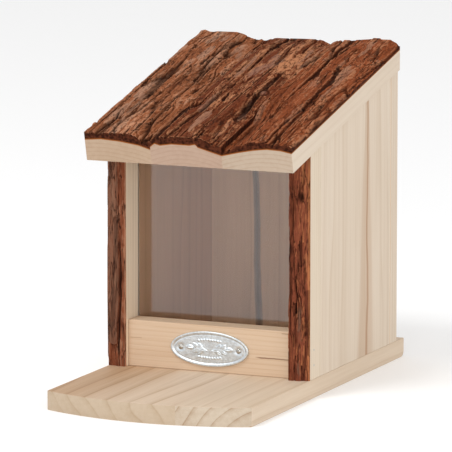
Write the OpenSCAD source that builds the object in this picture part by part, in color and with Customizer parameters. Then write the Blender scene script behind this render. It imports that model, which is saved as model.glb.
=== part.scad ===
// Bark-roofed feeder house: a wooden box with a clear front pane, a porch and a roof that swings open.
// Frame: origin at the centre of the base's underside, +X to the right, +Y to the back, +Z up.
// All sizes are in millimetres.

/* [Body] */
// Width across the outside of the side walls
body_w = 170; // [140:1:210]
// Depth from the front of the posts to the outside of the back
body_d = 185; // [150:1:225]
// Height of the walls above the base, at the front
front_h = 176; // [145:1:212]
// Height of the walls above the base, at the back
back_h = 220; // [184:1:270]
// Thickness of the side walls and of the posts
side_t = 15; // [13:0.5:20]
// Thickness of the back boards
back_t = 15; // [11:0.5:18]
// Depth of the front posts
post_d = 23; // [23:0.5:30]
// Where the two back boards meet, from the middle
back_joint_x = -30; // [-34:1:-24]

/* [Base] */
// Thickness of the base boards
base_t = 15; // [12:0.5:20]
// Length of the porch at its corners, in front of the posts
porch_d = 113; // [80:1:140]
// How far the porch's curved edge bows out in the middle
porch_bow = 18; // [10:1:24]
// How far the base reaches past the back
ledge_d = 16; // [12:1:24]
// Radius under the base's back edge
ledge_r = 5; // [2:0.5:8]
// Where the two base boards meet, from the middle
base_joint_x = 29; // [20:1:36]

/* [Roof] */
// Thickness of a roof board at its crown
roof_t = 18; // [15:0.5:23]
// Thickness of the bark on the roof boards
roof_bark_t = 6; // [4:0.5:8]
// How far the roof reaches in front of the posts
eaves = 36; // [24:1:48]
// How far the roof reaches past each side wall
verge = 1.5; // [0:0.5:4]
// Where the left and middle roof boards meet, from the middle
roof_joint_left_x = -31.5; // [-36:0.5:-26]
// Where the middle and right roof boards meet, from the middle
roof_joint_right_x = 28; // [23:0.5:34]
// How far the left board's top falls from its crown to its joint
roof_dip_left = 6; // [3:0.5:8]
// How far the right board's top falls from its crown to its joint
roof_dip_right = 8; // [4:0.5:9]
// Radius of the middle board's log
middle_log_r = 85; // [60:1:140]
// Distance of the left board's crown from the roof's left side
roof_crown_left = 16.5; // [10:0.5:24]
// Distance of the right board's crown from the roof's right side
roof_crown_right = 18.5; // [10:0.5:24]
// How far the middle board's crown lies left of its middle
roof_crown_shift = 4; // [-6:0.5:6]
// Gap between the closed roof and the walls
roof_gap = 0.3; // [0.2:0.1:0.6]

/* [Posts] */
// Thickness of the bark on the posts
post_bark_t = 5; // [3:0.5:7]
// Radius of the bark's round front, seen from above
post_bark_r = 17; // [14:1:30]
// How far the bark's crown lies left of a post's middle
post_crown_shift = 2; // [0:0.5:4]
// How far the right post's front falls back towards the outside
post_fall = 2; // [0:0.5:4]
// How far the right post's bark reaches past its inner face
post_bark_lip = 1.5; // [0:0.5:2]

/* [Rail and pane] */
// Height of the front rail
rail_h = 37; // [34:0.5:50]
// Thickness of the front rail
rail_t = 18; // [14:0.5:18]
// How far the rail sits behind the front of the posts
rail_set = 3.5; // [1:0.5:4.5]
// Thickness of the clear pane
pane_t = 3; // [2:0.5:3.5]
// Gap between the pane's top edge and the roof
pane_top_gap = 9; // [5:1:50]
// Depth of the grooves that the pane slides in
groove_d = 4; // [3:0.5:6]
// Gap between the pane and each face of its groove
pane_gap = 0.3; // [0.2:0.05:0.4]

/* [Oval plate] */
// Width of the oval plate
plate_w = 66; // [50:1:80]
// Height of the oval plate
plate_h = 28; // [20:1:32]
// Thickness of the plate's sheet
plate_t = 0.9; // [0.6:0.1:1.2]
// Height of the rim that stands out of the plate
plate_rim = 0.8; // [0.4:0.1:1.2]
// Width of the plate's rim
plate_rim_w = 3; // [2:0.5:4]
// Distance between the plate's two nails
plate_nail_gap = 49; // [38:1:50]

/* [Hinges] */
// Length of a hinge along its pin
hinge_l = 30; // [24:1:36]
// Width of a hinge leaf, from its knuckle to its edge
leaf_w = 11; // [9:0.5:13]
// Thickness of a hinge leaf
leaf_t = 1; // [0.8:0.1:1.2]
// Outer radius of the hinge knuckles
knuckle_r = 2.2; // [2:0.1:2.6]
// Radius of the hinge pin
pin_r = 1.1; // [0.9:0.05:1.3]
// Distance from a side wall's outside to the middle of a hinge
hinge_inset = 31; // [28:1:40]
// Radial clearance between the pin and the roof leaf
pin_gap = 0.05; // [0.02:0.01:0.08]

/* [Fasteners] */
// Radius of the two fixing holes in the back boards
fix_r = 2.5; // [2:0.25:3.5]
// Distance between the two fixing holes
fix_gap = 100; // [80:1:110]
// Distance of the fixing holes below the top of the back
fix_down = 35; // [25:1:80]
// Radius of the base screws' shanks
base_screw_r = 1.75; // [1.5:0.25:2.5]
// Length of the base screws
base_screw_l = 35; // [30:1:45]
// Radius of the hinge screws' shanks
leaf_screw_r = 1.3; // [1:0.1:1.5]
// Length of the hinge screws in the wood
leaf_screw_l = 10; // [6:0.5:10]
// Radius of the wire nails
nail_r = 0.9; // [0.7:0.1:1.2]
// Length of the wire nails
nail_l = 30; // [25:1:35]
// Distance of the rail's nails behind its front
rail_nail_in = 6.5; // [5:0.5:9]
// Height of the rail's lower nails above the base
rail_nail_up = 11; // [8:1:14]
// Distance between the rail's lower and upper nails
rail_nail_gap = 12; // [10:1:16]

/* [Hidden] */
$fn = 64;
arc_fn = 180;

// Colours
pine = "#e6d3b8";
pine_warm = "#dfbf98";
bark_brown = "#7a452e";
bark_dark = "#5e3524";
zinc = "#c3c5c2";
brass = "#b99a5a";

// Places, from the driving sizes
half_w = body_w / 2;
inner_x = half_w - side_t;
base_len = porch_bow + porch_d + body_d + ledge_d;
y_base_front = -base_len / 2;
y_front = y_base_front + porch_bow + porch_d;
y_back = y_front + body_d;
y_base_back = base_len / 2;
y_rail = y_front + rail_set;
y_post_back = y_front + post_d;
y_pane = y_post_back + pane_gap;
pane_lift_gap = 0.2;
pitch = atan((back_h - front_h) / body_d);
roof_half_w = half_w + verge;
hinge_x = half_w - hinge_inset;
z_wall_back = base_t + back_h;
pivot_z = z_wall_back + roof_gap / 2;
knuckle_gap = 0.35;
pivot_y = y_back + knuckle_r + knuckle_gap;
porch_r = (pow(half_w, 2) + pow(porch_bow, 2)) / (2 * porch_bow);
reach = 2 * (base_len + back_h);

// Top of the walls at a depth y
function wall_top(y) = z_wall_back - (y_back - y) * tan(pitch);

// An oval of width w and height h, as an outline
function oval(w, h, n = 72) = [for (i = [0 : n - 1]) [w / 2 * cos(360 * i / n), h / 2 * sin(360 * i / n)]];

// A board between x0 and x1 that stands on the base and is cut to the roof's slope
module wall_slice(x0, x1, y0, y1) {
    translate([x0, 0, 0])
        rotate([90, 0, 90])
            linear_extrude(x1 - x0)
                polygon([[y0, base_t], [y1, base_t], [y1, wall_top(y1)], [y0, wall_top(y0)]]);
}

// A round bar along Y from y0 to y1
module bar_y(r, x, z, y0, y1) {
    translate([x, y0, z])
        rotate([-90, 0, 0])
            cylinder(r = r, h = y1 - y0);
}

// A round bar along X from x0 to x1
module bar_x(r, y, z, x0, x1) {
    translate([x0, y, z])
        rotate([0, 90, 0])
            cylinder(r = r, h = x1 - x0);
}

// Base: two boards under the whole house, with a bowed porch and a rounded back edge

base_screw_head_r = 2 * base_screw_r;
base_screw_head_h = base_screw_r;
base_screw_front_in = 17;
base_screw_rear_in = 35;
base_screw_side_in = 30;
base_screw_side_y = [y_post_back + base_screw_front_in, y_back - back_t - base_screw_rear_in];
base_screw_places = [
    for (s = [-1, 1]) for (y = base_screw_side_y) [s * (half_w - side_t / 2), y],
    for (s = [-1, 1]) [s * (half_w - base_screw_side_in), y_back - back_t / 2]
];

module base_outline() {
    intersection() {
        translate([-half_w, y_base_front])
            square([body_w, base_len]);
        union() {
            translate([0, y_base_front + porch_r])
                circle(r = porch_r, $fn = arc_fn);
            translate([-half_w, y_base_front + porch_r])
                square([body_w, reach]);
        }
    }
}

module base_screw() {
    cylinder(r1 = base_screw_head_r, r2 = base_screw_r, h = base_screw_head_h);
    cylinder(r = base_screw_r, h = base_screw_l);
}

module base_board(x0, x1) {
    edge = 1;
    color(pine)
        difference() {
            intersection() {
                linear_extrude(base_t)
                    base_outline();
                translate([x0, -reach / 2, 0])
                    cube([x1 - x0, reach, base_t]);
            }
            difference() {
                translate([-half_w - edge, y_base_back - ledge_r, -edge])
                    cube([body_w + 2 * edge, ledge_r + edge, ledge_r + edge]);
                bar_x(ledge_r, y_base_back - ledge_r, ledge_r, -half_w - edge, half_w + edge);
            }
            for (p = base_screw_places)
                translate([p[0], p[1], 0])
                    base_screw();
        }
}

module base_screws() {
    color(zinc)
        for (p = base_screw_places)
            translate([p[0], p[1], 0])
                base_screw();
}

// Front posts: bark-edged strips, whose fronts are the outside of a log

rail_nail_y = y_rail + rail_nail_in;
rail_nail_z = [base_t + rail_nail_up, base_t + rail_nail_up + rail_nail_gap];

module rail_nail_set(side) {
    for (z = rail_nail_z)
        bar_x(nail_r, rail_nail_y, z,
              side < 0 ? -half_w : half_w - nail_l,
              side < 0 ? -half_w + nail_l : half_w);
}

// Everything behind the front face of a post that starts at x0
module behind_post_front(x0, side) {
    fall = side < 0 ? 0 : post_fall;
    linear_extrude(reach)
        polygon([
            [x0 - reach, y_front], [x0, y_front], [x0 + side_t, y_front + fall],
            [x0 + side_t, y_front + reach], [x0 - reach, y_front + reach]
        ]);
}

module front_post(side) {
    x0 = side < 0 ? -half_w : inner_x;
    color(pine)
        difference() {
            intersection() {
                wall_slice(x0, x0 + side_t, y_front, y_post_back);
                behind_post_front(x0, side);
            }
            rail_nail_set(side);
        }
}

module post_bark(side) {
    x0 = side < 0 ? -half_w : inner_x;
    lip = side < 0 ? 0 : post_bark_lip;
    crown_x = x0 + side_t / 2 - post_crown_shift;
    color(bark_brown)
        difference() {
            intersection() {
                wall_slice(x0 - lip, x0 + side_t, y_front - post_bark_t, y_front + post_fall);
                translate([crown_x, y_front - post_bark_t + post_bark_r, base_t])
                    cylinder(r = post_bark_r, h = reach);
            }
            behind_post_front(x0, side);
        }
}

// Walls: a panel behind each post, and two boards across the back

back_nail_up = 30;
back_nail_down = 40;
back_nail_h = [back_nail_up, back_h / 2, back_h - back_nail_down];
back_nail_places = [
    for (s = [-1, 1]) for (h = back_nail_h) [s * (half_w - side_t / 2), base_t + h]
];
nail_head_r = 2 * nail_r;
nail_head_t = 0.6;

module back_nail_shanks() {
    for (p = back_nail_places)
        bar_y(nail_r, p[0], p[1], y_back - nail_l, y_back);
}

// The groove for the pane: a rebate in a side wall's front edge, closed by the post
module pane_groove(side) {
    x0 = side < 0 ? -inner_x - groove_d : inner_x;
    translate([x0, y_front, base_t])
        cube([groove_d, post_d + pane_t + 2 * pane_gap, reach]);
}

module side_wall(side) {
    x0 = side < 0 ? -half_w : inner_x;
    color(pine)
        difference() {
            wall_slice(x0, x0 + side_t, y_post_back, y_back - back_t);
            pane_groove(side);
            back_nail_shanks();
            base_screws();
        }
}

module back_board(x0, x1) {
    color(pine)
        difference() {
            wall_slice(x0, x1, y_back - back_t, y_back);
            back_nail_shanks();
            base_screws();
            leaf_screw_shanks(-1);
            for (s = [-1, 1])
                bar_y(fix_r, s * fix_gap / 2, z_wall_back - fix_down, y_back - reach, y_back + reach);
        }
}

module back_nails() {
    color(zinc) {
        back_nail_shanks();
        for (p = back_nail_places)
            bar_y(nail_head_r, p[0], p[1], y_back, y_back + nail_head_t);
    }
}

// Front rail, its nails, the pane and the oval plate

plate_z = base_t + rail_h / 2;
plate_nail_l = 10;
plate_nail_head_r = 2;
plate_nail_head_t = 0.9;

module plate_nail_shanks() {
    for (s = [-1, 1])
        bar_y(nail_r, s * plate_nail_gap / 2, plate_z, y_rail - plate_t, y_rail + plate_nail_l);
}

module front_rail() {
    color(pine_warm)
        difference() {
            translate([-inner_x, y_rail, base_t])
                cube([2 * inner_x, rail_t, rail_h]);
            plate_nail_shanks();
            for (s = [-1, 1])
                rail_nail_set(s);
        }
}

module rail_nails() {
    color(zinc)
        for (s = [-1, 1])
            rail_nail_set(s);
}

module window_pane() {
    pane_half_w = inner_x + groove_d - pane_gap;
    pane_h = wall_top(y_pane) - pane_top_gap - base_t;
    color("lightblue", 0.35)
        translate([-pane_half_w, y_pane, base_t + pane_lift_gap])
            cube([2 * pane_half_w, pane_t, pane_h]);
}

// A flat oval sheet that stands on the rail's front, with its front face at a height t
module plate_sheet(w, h, t) {
    translate([0, y_rail, plate_z])
        rotate([90, 0, 0])
            linear_extrude(t)
                polygon(oval(w, h));
}

module oval_plate() {
    color(zinc)
        difference() {
            plate_sheet(plate_w, plate_h, plate_t + plate_rim);
            translate([0, -plate_t, 0])
                plate_sheet(plate_w - 2 * plate_rim_w, plate_h - 2 * plate_rim_w, 2 * plate_rim);
            plate_nail_shanks();
        }
}

module plate_nails() {
    color(zinc) {
        plate_nail_shanks();
        for (s = [-1, 1])
            bar_y(plate_nail_head_r, s * plate_nail_gap / 2, plate_z,
                  y_rail - plate_t - plate_nail_head_t, y_rail - plate_t);
    }
}

// Roof: three boards sawn from the outside of a log, still with their bark on
// The top of each board is the log's round outside, so a board has its own log radius and crown.

// Radius of a log whose top falls by dip over a width w from its crown
function log_radius(w, dip) = (pow(w, 2) + pow(dip, 2)) / (2 * dip);

left_crown_x = roof_crown_left - roof_half_w;
left_log_r = log_radius(roof_joint_left_x - left_crown_x, roof_dip_left);
middle_crown_x = (roof_joint_left_x + roof_joint_right_x) / 2 - roof_crown_shift;
right_crown_x = roof_half_w - roof_crown_right;
right_log_r = log_radius(right_crown_x - roof_joint_right_x, roof_dip_right);

// Places its children in the roof's own frame: y along the slope from the back, z out of the boards
module on_slope() {
    intersection() {
        translate([0, y_back, z_wall_back])
            rotate([pitch, 0, 0])
                translate([0, 0, roof_gap])
                    children();
        translate([-reach / 2, y_back - reach, 0])
            cube([reach, reach, reach]);
    }
}

module slope_block(x0, x1, h) {
    front = (body_d + eaves) / cos(pitch);
    past = 2 * roof_t;
    translate([x0, -front, 0])
        cube([x1 - x0, front + past, h]);
}

module slope_log(crown_x, log_r, t) {
    translate([crown_x, -reach / 2, t - log_r])
        rotate([-90, 0, 0])
            cylinder(r = log_r, h = reach, $fn = arc_fn);
}

module roof_board(x0, x1, crown_x, log_r) {
    color(pine)
        difference() {
            on_slope()
                intersection() {
                    slope_block(x0, x1, roof_t);
                    slope_log(crown_x, log_r, roof_t);
                }
            leaf_screw_shanks(1);
        }
}

module roof_bark(x0, x1, crown_x, log_r) {
    color(bark_dark)
        on_slope()
            difference() {
                intersection() {
                    slope_block(x0, x1, roof_t + roof_bark_t);
                    slope_log(crown_x, log_r + roof_bark_t, roof_t + roof_bark_t);
                }
                slope_log(crown_x, log_r, roof_t);
            }
}

// Hinges: two small butt hinges across the joint between the back and the roof's back end
// up is -1 for the leaf on the back boards and 1 for the leaf on the roof.

leaf_start = knuckle_r + 0.3;
knuckle_side_gap = 0.3;
knuckle_l = (hinge_l - 2 * knuckle_side_gap) / 3;
leaf_screw_edge = 6;
leaf_screw_dx = hinge_l / 2 - leaf_screw_edge;
leaf_screw_z = leaf_start + leaf_w / 2;
leaf_screw_head_r = 2.4;
leaf_screw_head_t = 0.8;
pin_end = 0.5;

module leaf_screw_shanks(up) {
    for (s = [-1, 1])
        for (d = [-1, 1])
            bar_y(leaf_screw_r, s * hinge_x + d * leaf_screw_dx, pivot_z + up * leaf_screw_z,
                  y_back - leaf_screw_l, y_back + leaf_t);
}

// The stretches of the pin, from its middle, that a leaf's knuckles hold
function knuckles(up) = up < 0
    ? [[-hinge_l / 2, -hinge_l / 2 + knuckle_l], [hinge_l / 2 - knuckle_l, hinge_l / 2]]
    : [[-knuckle_l / 2, knuckle_l / 2]];

module hinge_leaf(side, up) {
    x = side * hinge_x;
    bore_r = up < 0 ? pin_r : pin_r + pin_gap;
    color(brass)
        difference() {
            union() {
                translate([x - hinge_l / 2, y_back, pivot_z + (up < 0 ? -leaf_start - leaf_w : leaf_start)])
                    cube([hinge_l, leaf_t, leaf_w]);
                for (k = knuckles(up)) {
                    bar_x(knuckle_r, pivot_y, pivot_z, x + k[0], x + k[1]);
                    translate([x + k[0], y_back, pivot_z + (up < 0 ? -leaf_start : 0)])
                        cube([k[1] - k[0], leaf_t, leaf_start]);
                }
            }
            bar_x(bore_r, pivot_y, pivot_z, x - hinge_l, x + hinge_l);
            leaf_screw_shanks(up);
        }
}

module hinge_pin(side) {
    x = side * hinge_x;
    color(zinc)
        bar_x(pin_r, pivot_y, pivot_z, x - hinge_l / 2 - pin_end, x + hinge_l / 2 + pin_end);
}

module hinge_screws(up) {
    color(brass) {
        leaf_screw_shanks(up);
        for (s = [-1, 1])
            for (d = [-1, 1])
                bar_y(leaf_screw_head_r, s * hinge_x + d * leaf_screw_dx, pivot_z + up * leaf_screw_z,
                      y_back + leaf_t, y_back + leaf_t + leaf_screw_head_t);
    }
}

// Nodes

base_board(-half_w, base_joint_x);  // base_board_left
base_board(base_joint_x, half_w);  // base_board_right
side_wall(-1);  // side_wall_left
side_wall(1);  // side_wall_right
front_post(-1);  // front_post_left
front_post(1);  // front_post_right
post_bark(-1);  // post_bark_left
post_bark(1);  // post_bark_right
back_board(-half_w, back_joint_x);  // back_board_left
back_board(back_joint_x, half_w);  // back_board_right
front_rail();
window_pane();
oval_plate();
plate_nails();
rail_nails();
back_nails();
base_screws();
roof_board(-roof_half_w, roof_joint_left_x, left_crown_x, left_log_r);  // roof_board_left
roof_board(roof_joint_left_x, roof_joint_right_x, middle_crown_x, middle_log_r);  // roof_board_middle
roof_board(roof_joint_right_x, roof_half_w, right_crown_x, right_log_r);  // roof_board_right
roof_bark(-roof_half_w, roof_joint_left_x, left_crown_x, left_log_r);  // roof_bark_left
roof_bark(roof_joint_left_x, roof_joint_right_x, middle_crown_x, middle_log_r);  // roof_bark_middle
roof_bark(roof_joint_right_x, roof_half_w, right_crown_x, right_log_r);  // roof_bark_right
hinge_leaf(-1, -1);  // hinge_body_leaf_left
hinge_leaf(1, -1);  // hinge_body_leaf_right
hinge_leaf(-1, 1);  // hinge_roof_leaf_left
hinge_leaf(1, 1);  // hinge_roof_leaf_right
hinge_pin(-1);  // hinge_pin_left
hinge_pin(1);  // hinge_pin_right
hinge_screws(-1);  // hinge_body_screws
hinge_screws(1);  // hinge_roof_screws
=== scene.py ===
import math

import bmesh
import bpy
import numpy as np
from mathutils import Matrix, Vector


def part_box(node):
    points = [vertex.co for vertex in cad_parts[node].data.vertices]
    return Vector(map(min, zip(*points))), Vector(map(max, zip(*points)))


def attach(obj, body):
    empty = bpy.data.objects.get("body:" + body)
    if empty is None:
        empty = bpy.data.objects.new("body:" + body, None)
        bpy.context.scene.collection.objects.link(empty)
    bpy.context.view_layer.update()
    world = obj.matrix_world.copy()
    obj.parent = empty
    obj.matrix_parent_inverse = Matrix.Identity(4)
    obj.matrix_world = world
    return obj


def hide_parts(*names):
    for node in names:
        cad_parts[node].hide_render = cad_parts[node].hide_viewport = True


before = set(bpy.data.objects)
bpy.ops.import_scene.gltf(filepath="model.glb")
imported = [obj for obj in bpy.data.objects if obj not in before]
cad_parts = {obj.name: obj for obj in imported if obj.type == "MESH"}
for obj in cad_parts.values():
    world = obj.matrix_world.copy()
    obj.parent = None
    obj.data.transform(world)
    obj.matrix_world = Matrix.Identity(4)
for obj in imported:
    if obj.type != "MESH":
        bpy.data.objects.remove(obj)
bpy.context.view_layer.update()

# Studio
# A camera a few metres away on a long lens, and a pale floor that fades into the background.
# The light is soft and even, from all round and from three large soft boxes.

CAMERA_TURN = math.radians(23.36)
CAMERA_RISE = math.radians(9.29)
CAMERA_AWAY = 3.927
CAMERA_AIM = Vector((-0.0069, 0.016, 0.123))
CAMERA_LENS = 398.2
SENSOR_WIDTH = 36
SIGHT = 100
LIGHT_ALL_ROUND = 0.79
# Each soft box: where it stands, how high it aims on the house, its width and its watts
SOFT_BOXES = {
    "key_light": ((-0.6, -1.4, 2.4), 0.1, 0.8, 25),
    "side_light": ((2.3, -0.9, 0.9), 0.12, 0.9, 6),
    "fill_light": ((0.9, -2.5, 0.7), 0.12, 1.0, 13),
}
FLOOR_SIZE = 40
FLOOR_WHITE = (0.93, 0.93, 0.93, 1)
FLOOR_GLOW = 0.1


def aimed(maker, name, place, aim):
    made = bpy.data.objects.new(name, maker)
    made.location = place
    made.rotation_euler = (Vector(aim) - Vector(place)).to_track_quat("-Z", "Y").to_euler()
    bpy.context.scene.collection.objects.link(made)
    return made


towards_camera = Vector((
    math.sin(CAMERA_TURN) * math.cos(CAMERA_RISE),
    -math.cos(CAMERA_TURN) * math.cos(CAMERA_RISE),
    math.sin(CAMERA_RISE),
))
lens = bpy.data.cameras.new("camera")
lens.lens = CAMERA_LENS
lens.sensor_width = SENSOR_WIDTH
lens.clip_end = SIGHT
camera = aimed(lens, "camera", CAMERA_AIM + towards_camera * CAMERA_AWAY, CAMERA_AIM)
bpy.context.scene.camera = camera
bpy.context.scene.view_settings.view_transform = "Standard"

world = bpy.data.worlds.new("studio")
world.use_nodes = True
background = world.node_tree.nodes["Background"]
background.inputs["Color"].default_value = (1, 1, 1, 1)
background.inputs["Strength"].default_value = LIGHT_ALL_ROUND
bpy.context.scene.world = world

for name, (place, aim_height, width, watts) in SOFT_BOXES.items():
    light = bpy.data.lights.new(name, "AREA")
    light.shape = "SQUARE"
    light.size = width
    light.energy = watts
    aimed(light, name, place, (0, 0, aim_height))

bm = bmesh.new()
bmesh.ops.create_grid(bm, x_segments=1, y_segments=1, size=FLOOR_SIZE / 2)
floor_mesh = bpy.data.meshes.new("floor")
bm.to_mesh(floor_mesh)
bm.free()
floor = bpy.data.objects.new("floor", floor_mesh)
bpy.context.scene.collection.objects.link(floor)
floor_paint = bpy.data.materials.new("floor_white")
floor_paint.use_nodes = True
floor_shader = floor_paint.node_tree.nodes["Principled BSDF"]
floor_shader.inputs["Base Color"].default_value = FLOOR_WHITE
floor_shader.inputs["Roughness"].default_value = 0.9
floor_shader.inputs["Specular IOR Level"].default_value = 0.1
floor_shader.inputs["Emission Color"].default_value = (1, 1, 1, 1)
floor_shader.inputs["Emission Strength"].default_value = FLOOR_GLOW
floor_mesh.materials.append(floor_paint)

# Base
# Two planed pine boards, glued edge to edge, with the porch's front sawn to a shallow bow.
# Their grain runs from front to back, so the front edge shows end grain.

MM = 0.001


def feed(tree, socket, value):
    if isinstance(value, bpy.types.NodeSocket):
        tree.links.new(value, socket)
    else:
        socket.default_value = value


def calc(tree, operation, *values):
    made = tree.nodes.new("ShaderNodeMath")
    made.operation = operation
    for socket, value in zip(made.inputs, values):
        feed(tree, socket, value)
    return made.outputs[0]


def vector(tree, x, y, z):
    made = tree.nodes.new("ShaderNodeCombineXYZ")
    for socket, value in zip(made.inputs, (x, y, z)):
        feed(tree, socket, value)
    return made.outputs[0]


def stretched_noise(tree, coords, scales, detail=2.0, shift=0.0):
    """Noise on coords in metres; scales are how many features there are in a metre each way."""
    scaled = tree.nodes.new("ShaderNodeVectorMath")
    scaled.operation = "MULTIPLY_ADD"
    feed(tree, scaled.inputs[0], coords)
    scaled.inputs[1].default_value = scales
    scaled.inputs[2].default_value = (shift, shift, shift)
    made = tree.nodes.new("ShaderNodeTexNoise")
    feed(tree, made.inputs["Vector"], scaled.outputs[0])
    made.inputs["Scale"].default_value = 1
    made.inputs["Detail"].default_value = detail
    return made.outputs["Fac"]


def ramp(tree, share, stops):
    """A value or a colour for each share, with straight runs between the stops."""
    made = tree.nodes.new("ShaderNodeValToRGB")
    feed(tree, made.inputs["Fac"], share)
    elements = made.color_ramp.elements
    while len(elements) < len(stops):
        elements.new(0.5)
    for element, (position, colour) in zip(elements, stops):
        element.position = position
        element.color = (*colour, 1) if isinstance(colour, tuple) else (colour, colour, colour, 1)
    return made.outputs["Color"]


def blend(tree, share, first, second, way="MIX"):
    made = tree.nodes.new("ShaderNodeMix")
    made.data_type = "RGBA"
    made.blend_type = way
    feed(tree, made.inputs[0], share)
    for socket, value in ((made.inputs[6], first), (made.inputs[7], second)):
        feed(tree, socket, (*value, 1) if isinstance(value, tuple) else value)
    return made.outputs[2]


def material(name, roughness=0.5, specular=0.5):
    made = bpy.data.materials.new(name)
    made.use_nodes = True
    shader = made.node_tree.nodes["Principled BSDF"]
    shader.inputs["Roughness"].default_value = roughness
    shader.inputs["Specular IOR Level"].default_value = specular
    return made, made.node_tree, shader


def relief(tree, shader, height, depth, strength=1.0):
    bump = tree.nodes.new("ShaderNodeBump")
    bump.inputs["Distance"].default_value = depth
    bump.inputs["Strength"].default_value = strength
    feed(tree, bump.inputs["Height"], height)
    feed(tree, shader.inputs["Normal"], bump.outputs["Normal"])


# A ring's darkness from its inner side to its outer one, with a sharp dark line of late wood
RING_DARKNESS = [(0.0, 0.08), (0.1, 0.0), (0.62, 0.1), (0.88, 0.5), (0.94, 1.0), (0.975, 0.25)]
# How many features there are in a metre: across and through the board, and along its grain
WAVERS = (22, 22, 3)
PATCHES = (60, 60, 2)
CLOUDS = (26, 26, 5)
STREAKS = (260, 260, 5)
FIBRES = (1500, 1500, 28)


def pine(name, grain, pith, pale, dark, ring, lines, wander, slope=0.0, shift=0.0, stains=()):
    """Planed pine. grain is the axis that it runs along, and pith where the tree's middle lies in
    the other two. pale and dark are the colours of early and late wood, ring the rings' spacing,
    lines how strong they are, and wander how far they waver in rings. slope turns the board about
    X, shift gives it noise of its own, and stains are functions that tint its colour."""
    made, tree, shader = material(name, roughness=0.6, specular=0.25)
    coords = tree.nodes.new("ShaderNodeTexCoord").outputs["Object"]
    if slope:
        turned = tree.nodes.new("ShaderNodeVectorRotate")
        turned.rotation_type = "X_AXIS"
        feed(tree, turned.inputs["Vector"], coords)
        turned.inputs["Angle"].default_value = -slope
        coords = turned.outputs[0]
    parts = tree.nodes.new("ShaderNodeSeparateXYZ")
    feed(tree, parts.inputs[0], coords)
    order = {"X": (1, 2, 0), "Y": (0, 2, 1), "Z": (0, 1, 2)}[grain]
    across, through, along = (parts.outputs[i] for i in order)
    local = vector(tree, across, through, along)
    across = calc(tree, "POWER", calc(tree, "SUBTRACT", across, pith[0]), 2)
    through = calc(tree, "POWER", calc(tree, "SUBTRACT", through, pith[1]), 2)
    radius = calc(tree, "SQRT", calc(tree, "ADD", across, through))
    waver = calc(tree, "MULTIPLY", stretched_noise(tree, local, WAVERS, 1.5, shift), wander * 2)
    rings = calc(tree, "ADD", calc(tree, "DIVIDE", radius, ring), waver)
    late = ramp(tree, calc(tree, "FRACT", rings), RING_DARKNESS)
    uneven = stretched_noise(tree, local, PATCHES, 1.0, shift + 7)
    late = calc(tree, "MULTIPLY", late, calc(tree, "MULTIPLY_ADD", uneven, 1.1, 0.35))
    fibre = stretched_noise(tree, local, FIBRES, 3.0, shift)
    streak = stretched_noise(tree, local, STREAKS, 2.0, shift + 3)
    cloud = stretched_noise(tree, local, CLOUDS, 2.0, shift + 5)
    share = calc(tree, "MULTIPLY", late, lines)
    for noise, strength in ((fibre, 0.35), (streak, 0.55), (cloud, 0.5)):
        share = calc(tree, "MULTIPLY_ADD", calc(tree, "SUBTRACT", noise, 0.5), strength, share)
    share = calc(tree, "MAXIMUM", calc(tree, "MINIMUM", calc(tree, "ADD", share, 0.08), 1.0), 0.0)
    colour = blend(tree, share, pale, dark)
    for maker in stains:
        colour = maker(tree, parts.outputs, colour)
    feed(tree, shader.inputs["Base Color"], colour)
    feed(tree, shader.inputs["Roughness"], calc(tree, "MULTIPLY_ADD", fibre, 0.25, 0.45))
    relief(tree, shader, calc(tree, "ADD", fibre, calc(tree, "MULTIPLY", late, 0.6)), 0.12 * MM, 0.7)
    return made


# Two points of a mesh this near each other, in metres, are the same point
SAME_PLACE = 0.01 * MM


def planed(node, finish, end_finish=None, ease=0.45 * MM, glued_x=None, shortest=2 * MM):
    """A board with its CAD shape, its edges eased with sandpaper, and its own end grain. Edges at
    glued_x are glued to the next board, and stay sharp, as do edges under the shortest length."""
    bm = bmesh.new()
    bm.from_mesh(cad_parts[node].data)
    bmesh.ops.remove_doubles(bm, verts=bm.verts, dist=0.001 * MM)
    bmesh.ops.dissolve_limit(bm, angle_limit=math.radians(1), verts=bm.verts, edges=bm.edges)
    sharp = []
    for edge in bm.edges:
        at_joint = glued_x is not None and all(
            abs(vert.co.x - glued_x) < SAME_PLACE for vert in edge.verts)
        turned = len(edge.link_faces) == 2 and edge.calc_face_angle(0) > math.radians(30)
        if turned and not at_joint and edge.calc_length() > shortest:
            sharp.append(edge)
    bmesh.ops.bevel(bm, geom=sharp, offset=ease, segments=2, profile=0.5, affect="EDGES", material=-1,
                    clamp_overlap=True)
    for face in bm.faces:
        face.material_index = 1 if end_finish and abs(face.normal.y) > 0.7 else 0
    mesh = bpy.data.meshes.new(node + "_planed")
    bm.to_mesh(mesh)
    bm.free()
    piece = bpy.data.objects.new(node + "_planed", mesh)
    bpy.context.scene.collection.objects.link(piece)
    mesh.materials.append(finish)
    mesh.materials.append(end_finish or finish)
    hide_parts(node)
    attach(piece, "house")


def sapwood(tree, place, base):
    """The left board's pale sapwood, which comes in over 50 mm towards the joint."""
    share = calc(tree, "DIVIDE", calc(tree, "ADD", place[0], 62 * MM), 50 * MM)
    share = ramp(tree, share, [(0.0, 0.0), (1.0, 1.0)])
    return blend(tree, share, base, (1.32, 1.58, 1.95), "MULTIPLY")


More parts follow.
